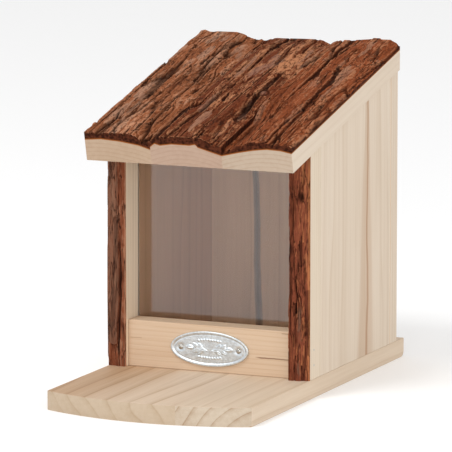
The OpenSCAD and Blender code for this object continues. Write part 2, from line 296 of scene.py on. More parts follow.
base_joint_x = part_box("base_board_left")[1].x
left_pith, right_pith = (-0.24, -0.15), (0.10, -0.03)
planed("base_board_left",
       pine("base_left_pine", "Y", left_pith, (0.53, 0.35, 0.215), (0.36, 0.205, 0.10),
            ring=15 * MM, lines=0.9, wander=0.8, stains=(sapwood,)),
       pine("base_left_end", "Y", left_pith, (0.51, 0.40, 0.29), (0.38, 0.265, 0.16),
            ring=15 * MM, lines=0.6, wander=0.8),
       glued_x=base_joint_x, shortest=0.3 * MM)
planed("base_board_right",
       pine("base_right_pine", "Y", right_pith, (0.70, 0.565, 0.43), (0.50, 0.35, 0.215),
            ring=10.5 * MM, lines=0.4, wander=0.5, shift=11),
       pine("base_right_end", "Y", right_pith, (0.55, 0.455, 0.35), (0.33, 0.21, 0.12),
            ring=9.5 * MM, lines=0.8, wander=0.4, shift=11),
       glued_x=base_joint_x, shortest=0.3 * MM)

# Walls
# Each side is a bark-edged post in front and a planed panel behind it. The back is two boards
# with a dark streak beside their joint. The grain of all of them runs up.

back_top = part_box("back_board_left")[1]
post_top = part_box("front_post_left")[1]
post_front_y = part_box("front_post_left")[0].y
foot_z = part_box("front_post_left")[0].z
pitch = math.atan2(back_top.z - post_top.z, back_top.y - post_top.y)
inner_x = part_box("side_wall_right")[0].x
inner_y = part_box("back_board_left")[0].y


def wavy_streak(centre, half_width, colour, strength, axis, waver=2 * MM):
    """A soft-edged stain that runs up a board, at a place on one axis. Its centre and half width are
    given at the foot and at the top."""
    def tint(tree, place, base):
        share = calc(tree, "DIVIDE", calc(tree, "SUBTRACT", place[2], foot_z), back_top.z - foot_z)
        line = calc(tree, "MULTIPLY_ADD", share, centre[1] - centre[0], centre[0])
        width = calc(tree, "MULTIPLY_ADD", share, half_width[1] - half_width[0], half_width[0])
        bend = stretched_noise(tree, vector(tree, 0.0, 0.0, place[2]), (1, 1, 22), 2.0, centre[0] * 100)
        line = calc(tree, "MULTIPLY_ADD", calc(tree, "SUBTRACT", bend, 0.5), 2 * waver, line)
        off = calc(tree, "DIVIDE", calc(tree, "ABSOLUTE", calc(tree, "SUBTRACT", place[axis], line)), width)
        inside = ramp(tree, off, [(0.0, 1.0), (0.7, 0.8), (1.0, 0.0)])
        return blend(tree, calc(tree, "MULTIPLY", inside, strength), base, colour)
    return tint


def painted_bounce_inside(axis, face, way, colour=(1.25, 0.94, 0.68)):
    """The inner face of a wall, square to an axis, with the wood the given way from it. Its colour
    is multiplied by a warm tint there: painted light, for the light bounced round inside the box."""
    def tint(tree, place, base):
        beyond = calc(tree, "MULTIPLY", calc(tree, "SUBTRACT", place[axis], face), way)
        inside = calc(tree, "LESS_THAN", beyond, 0.2 * MM)
        return blend(tree, inside, base, colour, "MULTIPLY")
    return tint


WALL_PALE = (0.69, 0.575, 0.455)
WALL_DARK = (0.50, 0.36, 0.235)
# The back boards' inner face gets a lighter warm tint: painted bounce light inside the box.
BOUNCE_LIGHT_BACK = (1.28, 1.04, 0.80)
planed("side_wall_left",
       pine("side_left_pine", "Z", (-0.2, 0.03), WALL_PALE, WALL_DARK,
            ring=5 * MM, lines=0.4, wander=1.2, shift=21,
            stains=(painted_bounce_inside(0, -inner_x, -1),)))
heart = wavy_streak((82 * MM, 84.5 * MM), (19 * MM, 3 * MM), (0.52, 0.36, 0.24), 0.6, 1)
heart_edge = wavy_streak((84.5 * MM, 85.5 * MM), (2.6 * MM, 1.2 * MM), (0.40, 0.22, 0.12), 0.8, 1, 3 * MM)
planed("side_wall_right",
       pine("side_right_pine", "Z", (0.25, 0.06), WALL_PALE, WALL_DARK,
            ring=5 * MM, lines=0.4, wander=1.5, shift=31,
            stains=(heart, heart_edge, painted_bounce_inside(0, inner_x, 1))))
# The left post's pale wood is about 1.35 times lighter than the walls': painted light for its inner face,
# which the lamps reach too little.
planed("front_post_left",
       pine("post_left_pine_painted_lighter", "Z", (-0.1, 0.03), (0.93, 0.77, 0.59), WALL_DARK,
            ring=4 * MM, lines=0.4, wander=1.0, shift=41))
planed("front_post_right",
       pine("post_right_pine", "Z", (0.09, 0.05), (0.70, 0.585, 0.45), WALL_DARK,
            ring=4 * MM, lines=0.4, wander=1.0, shift=51))
pith_streak = wavy_streak((-28.6 * MM, -33.6 * MM), (3.6 * MM, 2.6 * MM), (0.12, 0.078, 0.075), 0.85, 0)
back_joint_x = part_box("back_board_left")[1].x
planed("back_board_left",
       pine("back_left_pine", "Z", (-0.06, -0.05), WALL_PALE, WALL_DARK,
            ring=5 * MM, lines=0.5, wander=1.5, shift=61,
            stains=(painted_bounce_inside(1, inner_y, 1, BOUNCE_LIGHT_BACK), pith_streak)),
       glued_x=back_joint_x)
planed("back_board_right",
       pine("back_right_pine", "Z", (0.08, -0.1), WALL_PALE, WALL_DARK,
            ring=6 * MM, lines=0.5, wander=1.5, shift=71,
            stains=(painted_bounce_inside(1, inner_y, 1, BOUNCE_LIGHT_BACK), pith_streak)),
       glued_x=back_joint_x)

# Front rail and pane
# The rail is a planed pine strip nailed between the posts, with its grain running across. The
# clear acrylic pane stands behind it, in rebates in the side walls that the posts close.


def drying_crack(start, end, height, half_width, strength):
    """A fine crack along the rail from start to end, at a height above the floor; sizes in mm."""
    def tint(tree, place, base):
        run = calc(tree, "DIVIDE", calc(tree, "SUBTRACT", place[0], start * MM), (end - start) * MM)
        bend = stretched_noise(tree, vector(tree, place[0], 0.0, 0.0), (160, 1, 1), 2.0, height)
        line = calc(tree, "MULTIPLY_ADD", calc(tree, "SUBTRACT", bend, 0.5), 0.8 * MM, height * MM)
        off = calc(tree, "ABSOLUTE", calc(tree, "SUBTRACT", place[2], line))
        inside = ramp(tree, calc(tree, "DIVIDE", off, half_width * MM), [(0.3, 1.0), (1.0, 0.0)])
        here = ramp(tree, run, [(0.0, 0.0), (0.15, 1.0), (0.999, 0.8), (1.0, 0.0)])
        share = calc(tree, "MULTIPLY", calc(tree, "MULTIPLY", inside, here), strength)
        return blend(tree, share, base, (0.17, 0.07, 0.03))
    return tint


cracks = (drying_crack(38, 68, 29.7, 0.75, 0.85), drying_crack(60, 69, 50, 0.5, 0.6),
          drying_crack(-69, -58, 38, 0.4, 0.4))
planed("front_rail",
       pine("rail_pine", "X", (-0.06, 0.09), (0.665, 0.50, 0.355), (0.47, 0.275, 0.145),
            ring=3.4 * MM, lines=0.34, wander=1.6, shift=81, stains=cracks),
       ease=0.9 * MM)


def give(node, finish):
    """Puts one material on a CAD node."""
    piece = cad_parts[node]
    piece.data.materials.clear()
    piece.data.materials.append(finish)


acrylic, tree, shader = material("acrylic_pane", roughness=0.0)
shader.inputs["Base Color"].default_value = (0.99, 0.98, 0.99, 1)
shader.inputs["Transmission Weight"].default_value = 1
shader.inputs["IOR"].default_value = 1.58
give("window_pane", acrylic)

# Roof boards
# Three boards sawn from the outside of small logs, so their tops are the logs' uneven round
# and their ends show the rings. They lie edge to edge, and are glued together as one roof.

EAVES = 36 * MM
ROOF_GAP = 0.3 * MM
ROOF_BOARD_MESH = (40, 2)
# The finish of a slab's faces, by its number among the slab's finishes; 0 is on its two flats
END_FINISH, SIDE_FINISH = 1, 2
roof_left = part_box("roof_board_left")[0].x
roof_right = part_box("roof_board_right")[1].x
joint_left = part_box("roof_board_left")[1].x
joint_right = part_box("roof_board_right")[0].x
roof_length = (back_top.y - post_front_y + EAVES) / math.cos(pitch)


def on_roof(across, along, height):
    """The place of a point on the roof: along goes from 0 at the back to 1 at the eaves."""
    lift = height + ROOF_GAP
    run = along * roof_length - (1 - along) * lift * math.tan(pitch)
    return np.stack([
        across,
        back_top.y - run * math.cos(pitch) - lift * math.sin(pitch),
        back_top.z - run * math.sin(pitch) + lift * math.cos(pitch),
    ], axis=-1)


def slab(name, columns, rows, lower, upper, place, x0, x1):
    """A closed slab: a grid on its upper face, another on its lower face, and walls between. place
    puts its points on the house, by their share of the way along and their height above it."""
    bm = bmesh.new()
    for level in (0, 1):
        made = bmesh.ops.create_grid(bm, x_segments=columns, y_segments=rows, size=1)
        bmesh.ops.translate(bm, verts=made["verts"], vec=(0, 0, level))
    rim = [edge for edge in bm.edges if edge.is_boundary]
    walls = bmesh.ops.bridge_loops(bm, edges=rim)["faces"]
    for face in walls:
        at_end = all(abs(abs(vert.co.y) - 1) < 1e-6 for vert in face.verts)
        face.material_index = END_FINISH if at_end else SIDE_FINISH
    mesh = bpy.data.meshes.new(name)
    bm.to_mesh(mesh)
    bm.free()
    points = np.empty(len(mesh.vertices) * 3)
    mesh.vertices.foreach_get("co", points)
    points = points.reshape(-1, 3)
    across = x0 + (points[:, 0] + 1) / 2 * (x1 - x0)
    along = (points[:, 1] + 1) / 2
    is_top = points[:, 2] > 0.5
    low = lower(across, along)
    top = upper(across, along)
    mesh.vertices.foreach_set("co", place(across, along, np.where(is_top, top, low)).ravel())
    above = mesh.attributes.new("above_wood", "FLOAT", "POINT")
    above.data.foreach_set("value", np.where(is_top, top - low, 0).astype(np.float32))
    bm = bmesh.new()
    bm.from_mesh(mesh)
    bmesh.ops.recalc_face_normals(bm, faces=bm.faces)
    bm.to_mesh(mesh)
    bm.free()
    piece = bpy.data.objects.new(name, mesh)
    bpy.context.scene.collection.objects.link(piece)
    return piece, across, along, is_top


# Heights of each board's round top above its underside in mm, from left to right across the board
LOG_TOPS = {
    "left": [(-87, 16.7), (-73, 18), (-57, 17), (-41, 14.6), (-31, 11.5)],
    "middle": [(-32, 13.6), (-27.5, 17), (-23, 15.7), (-13.4, 17.3), (1.9, 17.2), (6.7, 18.3),
               (8.6, 15.9), (29, 10)],
    "right": [(27, 10), (42.5, 13.8), (54.4, 16.3), (66.1, 17.9), (77.6, 17.4), (87, 15.5)],
}


def log_top(which):
    places, heights = np.array(LOG_TOPS[which]).T * MM
    return lambda across, along: np.interp(across, places, heights)


def flat(across, along):
    return np.zeros_like(across)


ROOF_PARTS = {
    "left": (roof_left, joint_left),
    "middle": (joint_left, joint_right),
    "right": (joint_right, roof_right),
}
# The middle of each log: its place across the roof, and how far under the roof it lies
LOG_MIDDLES = {"left": (-0.070, -0.102), "middle": (-0.004, -0.067), "right": (0.066, -0.082)}
# The pale and the dark wood of each board's end
END_WOODS = {
    "left": ((0.46, 0.33, 0.23), (0.34, 0.22, 0.13)),
    "middle": ((0.445, 0.31, 0.23), (0.34, 0.215, 0.145)),
    "right": ((0.475, 0.37, 0.28), (0.35, 0.235, 0.15)),
}
roof_level = -back_top.y * math.sin(pitch) + back_top.z * math.cos(pitch)
for which, (x0, x1) in ROOF_PARTS.items():
    piece = slab(f"roof_log_board_{which}", *ROOF_BOARD_MESH, flat, log_top(which), on_roof, x0, x1)[0]
    log_x, log_down = LOG_MIDDLES[which]
    pith = (log_x, log_down + roof_level)
    face = pine(f"roof_{which}_pine", "Y", pith, WALL_PALE, WALL_DARK,
                ring=7 * MM, lines=0.12, wander=0.8, slope=pitch, shift=91)
    end = pine(f"roof_{which}_end", "Y", pith, *END_WOODS[which],
               ring=3.4 * MM, lines=0.55, wander=0.5, slope=pitch, shift=91)
    for finish in (face, end, face):
        piece.data.materials.append(finish)
    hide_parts(f"roof_board_{which}")
    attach(piece, "roof")

# Roof bark
# The bark is still on the boards: thick plates split by long furrows that run with the slope,
# layered and frayed at their edges, with a smooth dark face where it was sawn with the board.


def scatter(i, j, seed):
    """A number from 0 to 1 for each whole-number place, the same every time."""
    mixed = i.astype(np.int64) * 374761393 + j.astype(np.int64) * 668265263 + seed * 974634777
    mixed = mixed.astype(np.uint64) & np.uint64(0xFFFFFFFF)
    mixed = ((mixed ^ (mixed >> np.uint64(13))) * np.uint64(1274126177)) & np.uint64(0xFFFFFFFF)
    return ((mixed ^ (mixed >> np.uint64(16))) & np.uint64(0xFFFFFF)).astype(float) / 0xFFFFFF


def rolling(x, y, seed):
    """Smooth noise from -1 to 1 with features one unit apart."""
    i, j = np.floor(x), np.floor(y)
    a, b = x - i, y - j
    a, b = a * a * (3 - 2 * a), b * b * (3 - 2 * b)
    low = scatter(i, j, seed) * (1 - a) + scatter(i + 1, j, seed) * a
    high = scatter(i, j + 1, seed) * (1 - a) + scatter(i + 1, j + 1, seed) * a
    return (low * (1 - b) + high * b) * 2 - 1


def layered(x, y, seed, layers=3):
    """Rolling noise with finer and lower layers of it on top."""
    total, size = 0, 1.0
    for k in range(layers):
        total = total + rolling(x * 2 ** k + 17 * k, y * 2 ** k + 5 * k, seed + k) * size
        size *= 0.5
    return total / 1.6


def step(low, high, value):
    """Rises smoothly from 0 where value is low to 1 where it is high."""
    share = np.clip((value - low) / (high - low), 0, 1)
    return share * share * (3 - 2 * share)


def scales(u, v, wide, long, seed, ragged):
    """Overlapping bark scales: the height of the topmost one, from 0 to 1, and its own number."""
    i, j = np.floor(u / wide), np.floor(v / long)
    top = np.zeros(u.shape)
    own = np.full(u.shape, 0.5)
    for di in (-1, 0, 1):
        for dj in (-1, 0, 1):
            ci, cj = i + di, j + dj
            chance = [scatter(ci, cj, seed + k) for k in range(7)]
            half_wide = wide * (0.45 + 0.4 * chance[2])
            half_long = long * (0.5 + 0.45 * chance[3])
            dv = v - (cj + chance[1]) * long
            du = u - (ci + chance[0]) * wide - (chance[4] - 0.5) * 0.12 * dv
            inside = 1 - np.abs(du / half_wide) ** 3 - np.abs(dv / half_long) ** 4 + ragged
            level = 0.3 + 0.7 * chance[5] + 0.3 * (chance[6] - 0.5) * du / half_wide
            level = level * np.clip(inside / 0.14, 0, 1)
            higher = level > top
            own = np.where(higher, chance[6], own)
            top = np.maximum(top, level)
    return top, own


def split(u, v, wide, long, seed, width):
    """Long cracks that wander, part and close: 1 on a crack and 0 a width away, as a share of wide."""
    line = layered(u / wide, v / long, seed, 2)
    reach = np.abs(line) / width
    return np.exp(-reach * reach)


# Sizes of the bark's layers and cracks in mm, across its grain and along it
PLATES = (9.4, 80)
SCALES = (4.6, 28)
CHIPS = (1.9, 8.5)
FURROWS = (11.5, 150)
SIDE_CRACKS = (6, 60)
CRACK_WIDTH = 0.055


def bark_relief(u, v, seed, scale=1.0):
    """How far the bark lies below its highest, in mm, at u mm across and v mm along. Its tone, how
    deep in a crack it is and how grey it has weathered come with it. scale sizes its features."""
    wu = u + 1.3 * layered(u / 30, v / 80, seed) + 0.35 * layered(u / 5, v / 18, seed + 3)
    wv = v + 5.0 * layered(u / 12, v / 40, seed + 5)
    ragged = layered(wu / 1.3, wv / 5, seed + 31, 3)
    plate, plate_own = scales(wu, wv, PLATES[0] * scale, PLATES[1] * scale, seed + 61, 0.30 * ragged)
    scale_top, scale_own = scales(wu, wv, SCALES[0] * scale, SCALES[1] * scale, seed + 71, 0.42 * ragged)
    chip, chip_own = scales(wu, wv, CHIPS[0] * scale, CHIPS[1] * scale, seed + 81, 0.5 * ragged)
    open_here = step(-0.45, 0.25, layered(u / 14, v / 46, seed + 13))
    main = split(wu, wv, FURROWS[0] * scale, FURROWS[1] * scale, seed + 11, CRACK_WIDTH)
    main = main * (0.35 + 0.65 * open_here)
    side = split(wu, wv, SIDE_CRACKS[0] * scale, SIDE_CRACKS[1] * scale, seed + 17, CRACK_WIDTH)
    side = side * step(-0.3, 0.3, layered(u / 10, v / 30, seed + 19))
    fibre = layered(wu / 0.75, wv / 11, seed + 37, 2)
    grit = layered(u / 1.0, v / 1.6, seed + 53, 2)
    swell = layered(u / 17, v / 60, seed + 47)
    down = 2.6 * (1 - plate) + 1.25 * (1 - scale_top) + 0.45 * (1 - chip)
    down = down + 2.6 * main + 1.6 * side - 0.7 * swell + 0.26 * fibre + 0.2 * grit
    tone = 0.48 + 0.34 * (plate_own - 0.5) + 0.42 * (scale_own - 0.5) + 0.3 * (chip_own - 0.5)
    tone = tone + 0.16 * (plate - 0.5) + 0.2 * (scale_top - 0.5) - 0.12 * fibre - 0.08 * grit
    # depth sets where the bark is painted dark as shade: its furrows, cracks and low plates.
    depth = 0.95 * main + 0.8 * side + 0.9 * step(0.34, 0.05, plate) + 0.35 * step(0.25, 0.0, scale_top)
    aged = step(0.72, 1.0, scale_own + 0.3 * (plate_own - 0.5) + 0.25 * layered(u / 9, v / 22, seed + 91))
    return down, tone, np.clip(depth, 0, 1), aged


def bark_finish(name, warm, deep, tan, grey, long=1):
    """Bark: colours from its own relief, broken up by fibres, with grey and tan weathering. Raised edges
    turn tan, partly as wear and partly as a painted highlight, and painted shade darkens its cracks.
    long is the axis that its fibres run along."""
    made, tree, shader = material(name, roughness=0.9, specular=0.07)
    coords = tree.nodes.new("ShaderNodeTexCoord").outputs["Object"]

    def own(attribute):
        made = tree.nodes.new("ShaderNodeAttribute")
        made.attribute_name = attribute
        return made.outputs["Fac"]

    def along_grain(wide, run, detail, shift):
        scales = [wide, wide, wide]
        scales[long] = run
        return stretched_noise(tree, coords, scales, detail, shift)

    cloud = along_grain(60, 18, 3.0, 0)
    fleck = along_grain(700, 160, 3.0, 9)
    hair = along_grain(1700, 70, 2.0, 4)
    tone = calc(tree, "MULTIPLY_ADD", calc(tree, "SUBTRACT", cloud, 0.5), 0.6, own("tone"))
    tone = calc(tree, "MULTIPLY_ADD", calc(tree, "SUBTRACT", fleck, 0.5), 0.75, tone)
    tone = calc(tree, "MULTIPLY_ADD", calc(tree, "SUBTRACT", hair, 0.5), 0.6, tone)
    colour = ramp(tree, tone, [(0.05, deep), (0.36, warm), (0.6, warm), (0.95, tan)])
    aged = calc(tree, "MULTIPLY_ADD", calc(tree, "SUBTRACT", fleck, 0.5), 0.9, own("aged"))
    colour = blend(tree, ramp(tree, aged, [(0.5, 0.0), (1.0, 0.6)]), colour, grey)
    # Raised flake edges turn tan: partly wear, partly a painted highlight.
    worn_and_highlit = ramp(tree, own("worn_and_highlit"), [(0.56, 0.0), (0.9, 0.6)])
    colour = blend(tree, worn_and_highlit, colour, tan)
    # Painted shade: furrows, cracks and grooves, and the fine crack lines, go towards a near black.
    dark = tuple(0.13 * part for part in deep)
    colour = blend(tree, calc(tree, "MULTIPLY", own("depth"), 0.9), colour, dark)
    line = calc(tree, "ABSOLUTE", calc(tree, "SUBTRACT", along_grain(330, 34, 3.0, 21), 0.5))
    crack = ramp(tree, line, [(0.006, 1.0), (0.03, 0.0)])
    crack = calc(tree, "MULTIPLY", crack, ramp(tree, cloud, [(0.36, 0.4), (0.6, 0.9)]))
    colour = blend(tree, crack, colour, dark)
    feed(tree, shader.inputs["Base Color"], colour)
    height = calc(tree, "SUBTRACT", calc(tree, "ADD", fleck, hair), crack)
    relief(tree, shader, height, 0.6 * MM, 0.9)
    return made


def sawn_bark(name, brown, edge):
    """The sawn face of bark: dark, close and finely streaked, with a thin orange line at the wood."""
    made, tree, shader = material(name, roughness=0.8, specular=0.04)
    coords = tree.nodes.new("ShaderNodeTexCoord").outputs["Object"]
    above = tree.nodes.new("ShaderNodeAttribute")
    above.attribute_name = "above_wood"
    layers = stretched_noise(tree, coords, (420, 420, 420), 3.0)
    shade = tuple(0.3 * part for part in brown)
    colour = blend(tree, ramp(tree, layers, [(0.4, 0.0), (0.62, 1.0)]), shade, brown)
    share = calc(tree, "MULTIPLY_ADD", calc(tree, "SUBTRACT", layers, 0.5), 0.5 * MM, above.outputs["Fac"])
    line = ramp(tree, calc(tree, "DIVIDE", share, 2 * MM), [(0.2, 1.0), (0.55, 0.0)])
    colour = blend(tree, line, colour, edge)
    feed(tree, shader.inputs["Base Color"], colour)
    relief(tree, shader, layers, 0.5 * MM, 0.9)
    return made


WEAR_AND_HIGHLIGHT_SPAN = 1.6 * MM


def paint_relief(piece, is_top, tones, height, columns):
    """Stores the bark's tone, depth and age on its points, with how far each stands above those
    round it, which turns raised edges tan: partly wear, partly a painted highlight."""
    around = height.copy()
    grid = height[is_top].reshape(-1, columns + 1)
    soft = np.zeros_like(grid)
    reach = range(-2, 3)
    for di in reach:
        for dj in reach:
            soft += np.roll(np.roll(grid, di, 0), dj, 1)
    around[is_top] = (soft / len(reach) ** 2).ravel()
    worn_and_highlit = np.clip(0.5 + (height - around) / WEAR_AND_HIGHLIGHT_SPAN, 0, 1)
    for name, values in zip(("tone", "depth", "aged", "worn_and_highlit"), (*tones, worn_and_highlit)):
        made = piece.data.attributes.new(name, "FLOAT", "POINT")
        made.data.foreach_set("value", values.astype(np.float32))


ROOF_BARK_GRID = (0.55 * MM, 0.66 * MM)
BARK_TOP = 23.9 * MM
BARK_THINS = (0.60, 0.74)
BACK_END = 9
# How high the bark stands above the board's underside in mm, from left to right: at the back, and
# past BARK_THINS of the way to the eaves, where the right board's thins out beside the middle one
BARK_TOPS = {
    "left": [(-87, 22.4, 22.4), (-72, 23.4, 23.4), (-53.7, 23.6, 23.6), (-40.6, 21.0, 20.8),
             (-36, 18.8, 18.4), (-31, 17.0, 17.5)],
    "middle": [(-32, 17.0, 20.7), (-27, 20.4, 22.6), (-18, 22.8, 22.8), (0, 23.4, 23.2),
               (9, 23.2, 22.8), (20, 22.0, 19.0), (29, 19.5, 16.5)],
    "right": [(27, 20.2, 12.0), (34, 21.8, 14.5), (42, 22.6, 19.0), (54, 22.8, 21.8),
              (66, 23.4, 23.2), (78, 22.6, 22.8), (84, 19.6, 20.4), (87, 17.4, 18.2)],
}
# How far the broken rear end of the bark falls in mm, from left to right, over its last REAR_REACH
REAR_REACH = 32
REAR_FALLS = [
    (-87, 1.2), (-83, 0.4), (-79, 1.8), (-76, 1.9), (-72, 1.2), (-55, 1), (-48, 2.5), (-44, 3.6),
    (-40, 4), (-37, 2), (-33, 1), (-28, 2.5), (-24, 4), (-14, 4), (0, 3.6), (14, 3.4), (20, 3.8),
    (26, 4.4), (30, 3), (36, 2.8), (46, 2.6), (54, 1.8), (60, 1.2), (63, 0.8), (64.5, -1),
    (69, -1), (70.5, 0.8), (82, 0.6), (87, 0),
]
BARK_SEEDS = {"left": 101, "middle": 211, "right": 331}
# The warm, deep, tan and grey brown of each board's bark
ROOF_BARK_BROWNS = {
    "left": ((0.285, 0.093, 0.037), (0.115, 0.029, 0.010), (0.50, 0.235, 0.13), (0.32, 0.18, 0.12)),
    "middle": ((0.147, 0.035, 0.0125), (0.074, 0.016, 0.005), (0.47, 0.20, 0.095), (0.22, 0.115, 0.085)),
    "right": ((0.240, 0.060, 0.020), (0.105, 0.024, 0.0075), (0.46, 0.195, 0.095), (0.28, 0.14, 0.09)),
}
KNOT = (20.5, 124)
KNOT_SIZE = (4.8, 7.2)
SCRAPE = (16, 60)
SCRAPE_SIZE = (6.5, 27)
sawn_finish = sawn_bark("sawn_roof_bark", (0.095, 0.026, 0.012), (0.30, 0.095, 0.02))


def knot_and_scrape(u, v, relief_and_tones):
    """A small grey knot, and a stretch where the outer bark has been scraped off to the tan layer."""
    down, tone, depth, aged = relief_and_tones
    round_knot = np.hypot((u - KNOT[0]) / KNOT_SIZE[0], (v - KNOT[1]) / KNOT_SIZE[1])
    knot = 1 - step(0.55, 1.0, round_knot)
    boss = np.exp(-(round_knot / 0.3) ** 2)
    ring = np.exp(-((round_knot - 0.75) / 0.18) ** 2)
    beside, beyond = u - SCRAPE[0] + 0.12 * (v - SCRAPE[1]), v - SCRAPE[1]
    patch = 1 - (beside / SCRAPE_SIZE[0]) ** 2 - (beyond / SCRAPE_SIZE[1]) ** 2
    patch = step(0.0, 0.5, patch + 0.55 * layered(u / 3, v / 5, 901))
    comb = layered((u + 0.5 * v) / 1.1, (v - 0.5 * u) / 5, 907, 2)
    down = down * (1 - 0.85 * knot) + 1.2 * knot - 1.0 * boss + 0.7 * ring
    down = down * (1 - 0.6 * patch) + patch * (1.3 + 0.35 * comb)
    tone = tone * (1 - 0.8 * patch) + patch * (0.85 + 0.5 * comb)
    tone = tone * (1 - boss) + 0.75 * boss
    # The groove round the knot is painted dark as shade too.
    depth = depth * (1 - 0.85 * patch) * (1 - 0.9 * knot) + 0.8 * ring
    aged = np.clip(aged * (1 - patch) + 1.5 * boss + 0.5 * knot, 0, 1.5)
    return down, tone, np.clip(depth, 0, 1), aged


def bark_on_roof(which):
    x0, x1 = ROOF_PARTS[which]
    wood = log_top(which)
    places, back_tops, eaves_tops = np.array(BARK_TOPS[which]).T * MM
    seed = BARK_SEEDS[which]

    def surface(across, along):
        u, v = across / MM, along * roof_length / MM
        relief_and_tones = bark_relief(u, v, seed)
        if which == "middle":
            relief_and_tones = knot_and_scrape(u, v, relief_and_tones)
        down, *tones = relief_and_tones
        near_eaves = step(*BARK_THINS, along + 0.03 * rolling(u / 4, v / 15, seed + 7))
        crown = np.interp(across, places, back_tops) * (1 - near_eaves)
        crown = crown + np.interp(across, places, eaves_tops) * near_eaves
        down = down * (0.35 + 0.65 * step(0, BACK_END, v))
        low = wood(across, along)
        least = low + (0.9 + 0.5 * rolling(u / 3, along * 40, seed)) * MM
        height = np.minimum(crown + (1.9 - down) * MM, BARK_TOP)
        fall_x, falls = np.array(REAR_FALLS).T
        height = height - np.interp(u, fall_x, falls) * step(REAR_REACH, 0, v) * MM
        return np.clip(height, least, BARK_TOP), tones

    columns = round((x1 - x0) / ROOF_BARK_GRID[0])
    rows = round(roof_length / ROOF_BARK_GRID[1])
    piece, across, along, is_top = slab(
        f"roof_bark_plates_{which}", columns, rows, wood, lambda a, b: surface(a, b)[0], on_roof, x0, x1)
    height, tones = surface(across, along)
    paint_relief(piece, is_top, tones, height, columns)
    outer_finish = bark_finish(f"roof_bark_{which}_finish", *ROOF_BARK_BROWNS[which])
    for finish in (outer_finish, sawn_finish, sawn_finish):
        piece.data.materials.append(finish)
    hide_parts(f"roof_bark_{which}")
    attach(piece, "roof")


for which in ROOF_PARTS:
    bark_on_roof(which)

# Post bark
# The posts are sawn from the edge of a log, so a strip of its bark covers each front. The left
# one has a thick ridged plate beside a thin smooth layer, and the right one is smoother.

POST_BARK = 4.95 * MM
POST_MESH = (76, 380)
# The bark's pattern is worked out on a strip of this length in mm, drawn over the whole post
POST_STRIP = 178
post_low, post_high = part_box("post_bark_left")
right_low, right_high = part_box("post_bark_right")
right_post_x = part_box("front_post_right")[0].x
right_fall = (right_high.y - post_front_y) / (right_high.x - right_post_x)


def on_post(across, along, height):
    """The place of a point on a post's front: along goes from 0 at the foot to 1 under the roof."""
    face = post_front_y + np.maximum(0, across - right_post_x) * right_fall
    y = face - height
    top = back_top.z - (back_top.y - y) * math.tan(pitch)
    return np.stack([across, y, post_low.z + along * (top - post_low.z)], axis=-1)


def left_bark(u, v, down):
    """The left post: a ridged plate with a rounded foot, a crack beside it, and flaky bark above."""
    edge = -75.4 + 0.8 * rolling(v / 26, 0 * v, 5) + 0.3 * rolling(v / 6, 0 * v, 6) - 1.6 * step(60, 20, v)
    lower = step(112, 90, v)
    foot = 16.5 + 0.14 * (u + 79.5) ** 2
    plate = step(0.0, 0.7, edge - u) * step(0.0, 1.6, v - foot)
    ridge = 0.3 * rolling(u / 1.7, v / 45, 9) + 0.7 * rolling(u / 0.8, v / 60, 10)
    crack = np.exp(-((u - edge - 0.7) / 0.75) ** 2) * step(6, 12, v) * step(106, 92, v)
    wane = step(11, 0, v) * step(-76, -84, u)
    height = 1.8 - down * (0.5 - 0.44 * lower) + 1.3 * step(-80.5, -82.5, u) * (1 - plate)
    height = height + plate * (1.7 + ridge * (0.4 + 0.6 * lower)) - 1.0 * crack - 2.6 * wane
    groove = np.clip(-2.6 * ridge - 0.8, 0, 0.8) * plate * (0.3 + 0.7 * lower)
    return height, plate, np.maximum(crack, groove)


def right_bark(u, v, down):
    """The right post: rough at its thick inner edge, with long ridges, knots and a weathered foot."""
    ridge = 0.55 * rolling(u / 2.2, v / 50, 8) + 0.4 * rolling(u / 1.0, v / 26, 12)
    upper_knot = ((u - 79) / 2.3) ** 2 + ((v - 146) / 4) ** 2
    lower_knot = ((u - 69.5) / 2.4) ** 2 + ((v - 104) / 5) ** 2
    knot = np.exp(-upper_knot ** 2) + 0.8 * np.exp(-lower_knot ** 2)
    height = 4.7 - down * (0.35 + 0.6 * step(82, 72, u)) + ridge - 1.9 * step(72, 86, u) - 1.2 * knot
    weathered = np.exp(-((u - 78 - 0.02 * (v - 50)) / 2.3) ** 2) * step(88, 66, v)
    weathered = weathered * (0.7 + 0.6 * rolling(u / 2, v / 9, 15))
    groove = np.clip(-2 * ridge - 0.6, 0, 0.6)
    return height, np.clip(weathered, 0, 1), np.clip(np.maximum(knot, groove), 0, 1)


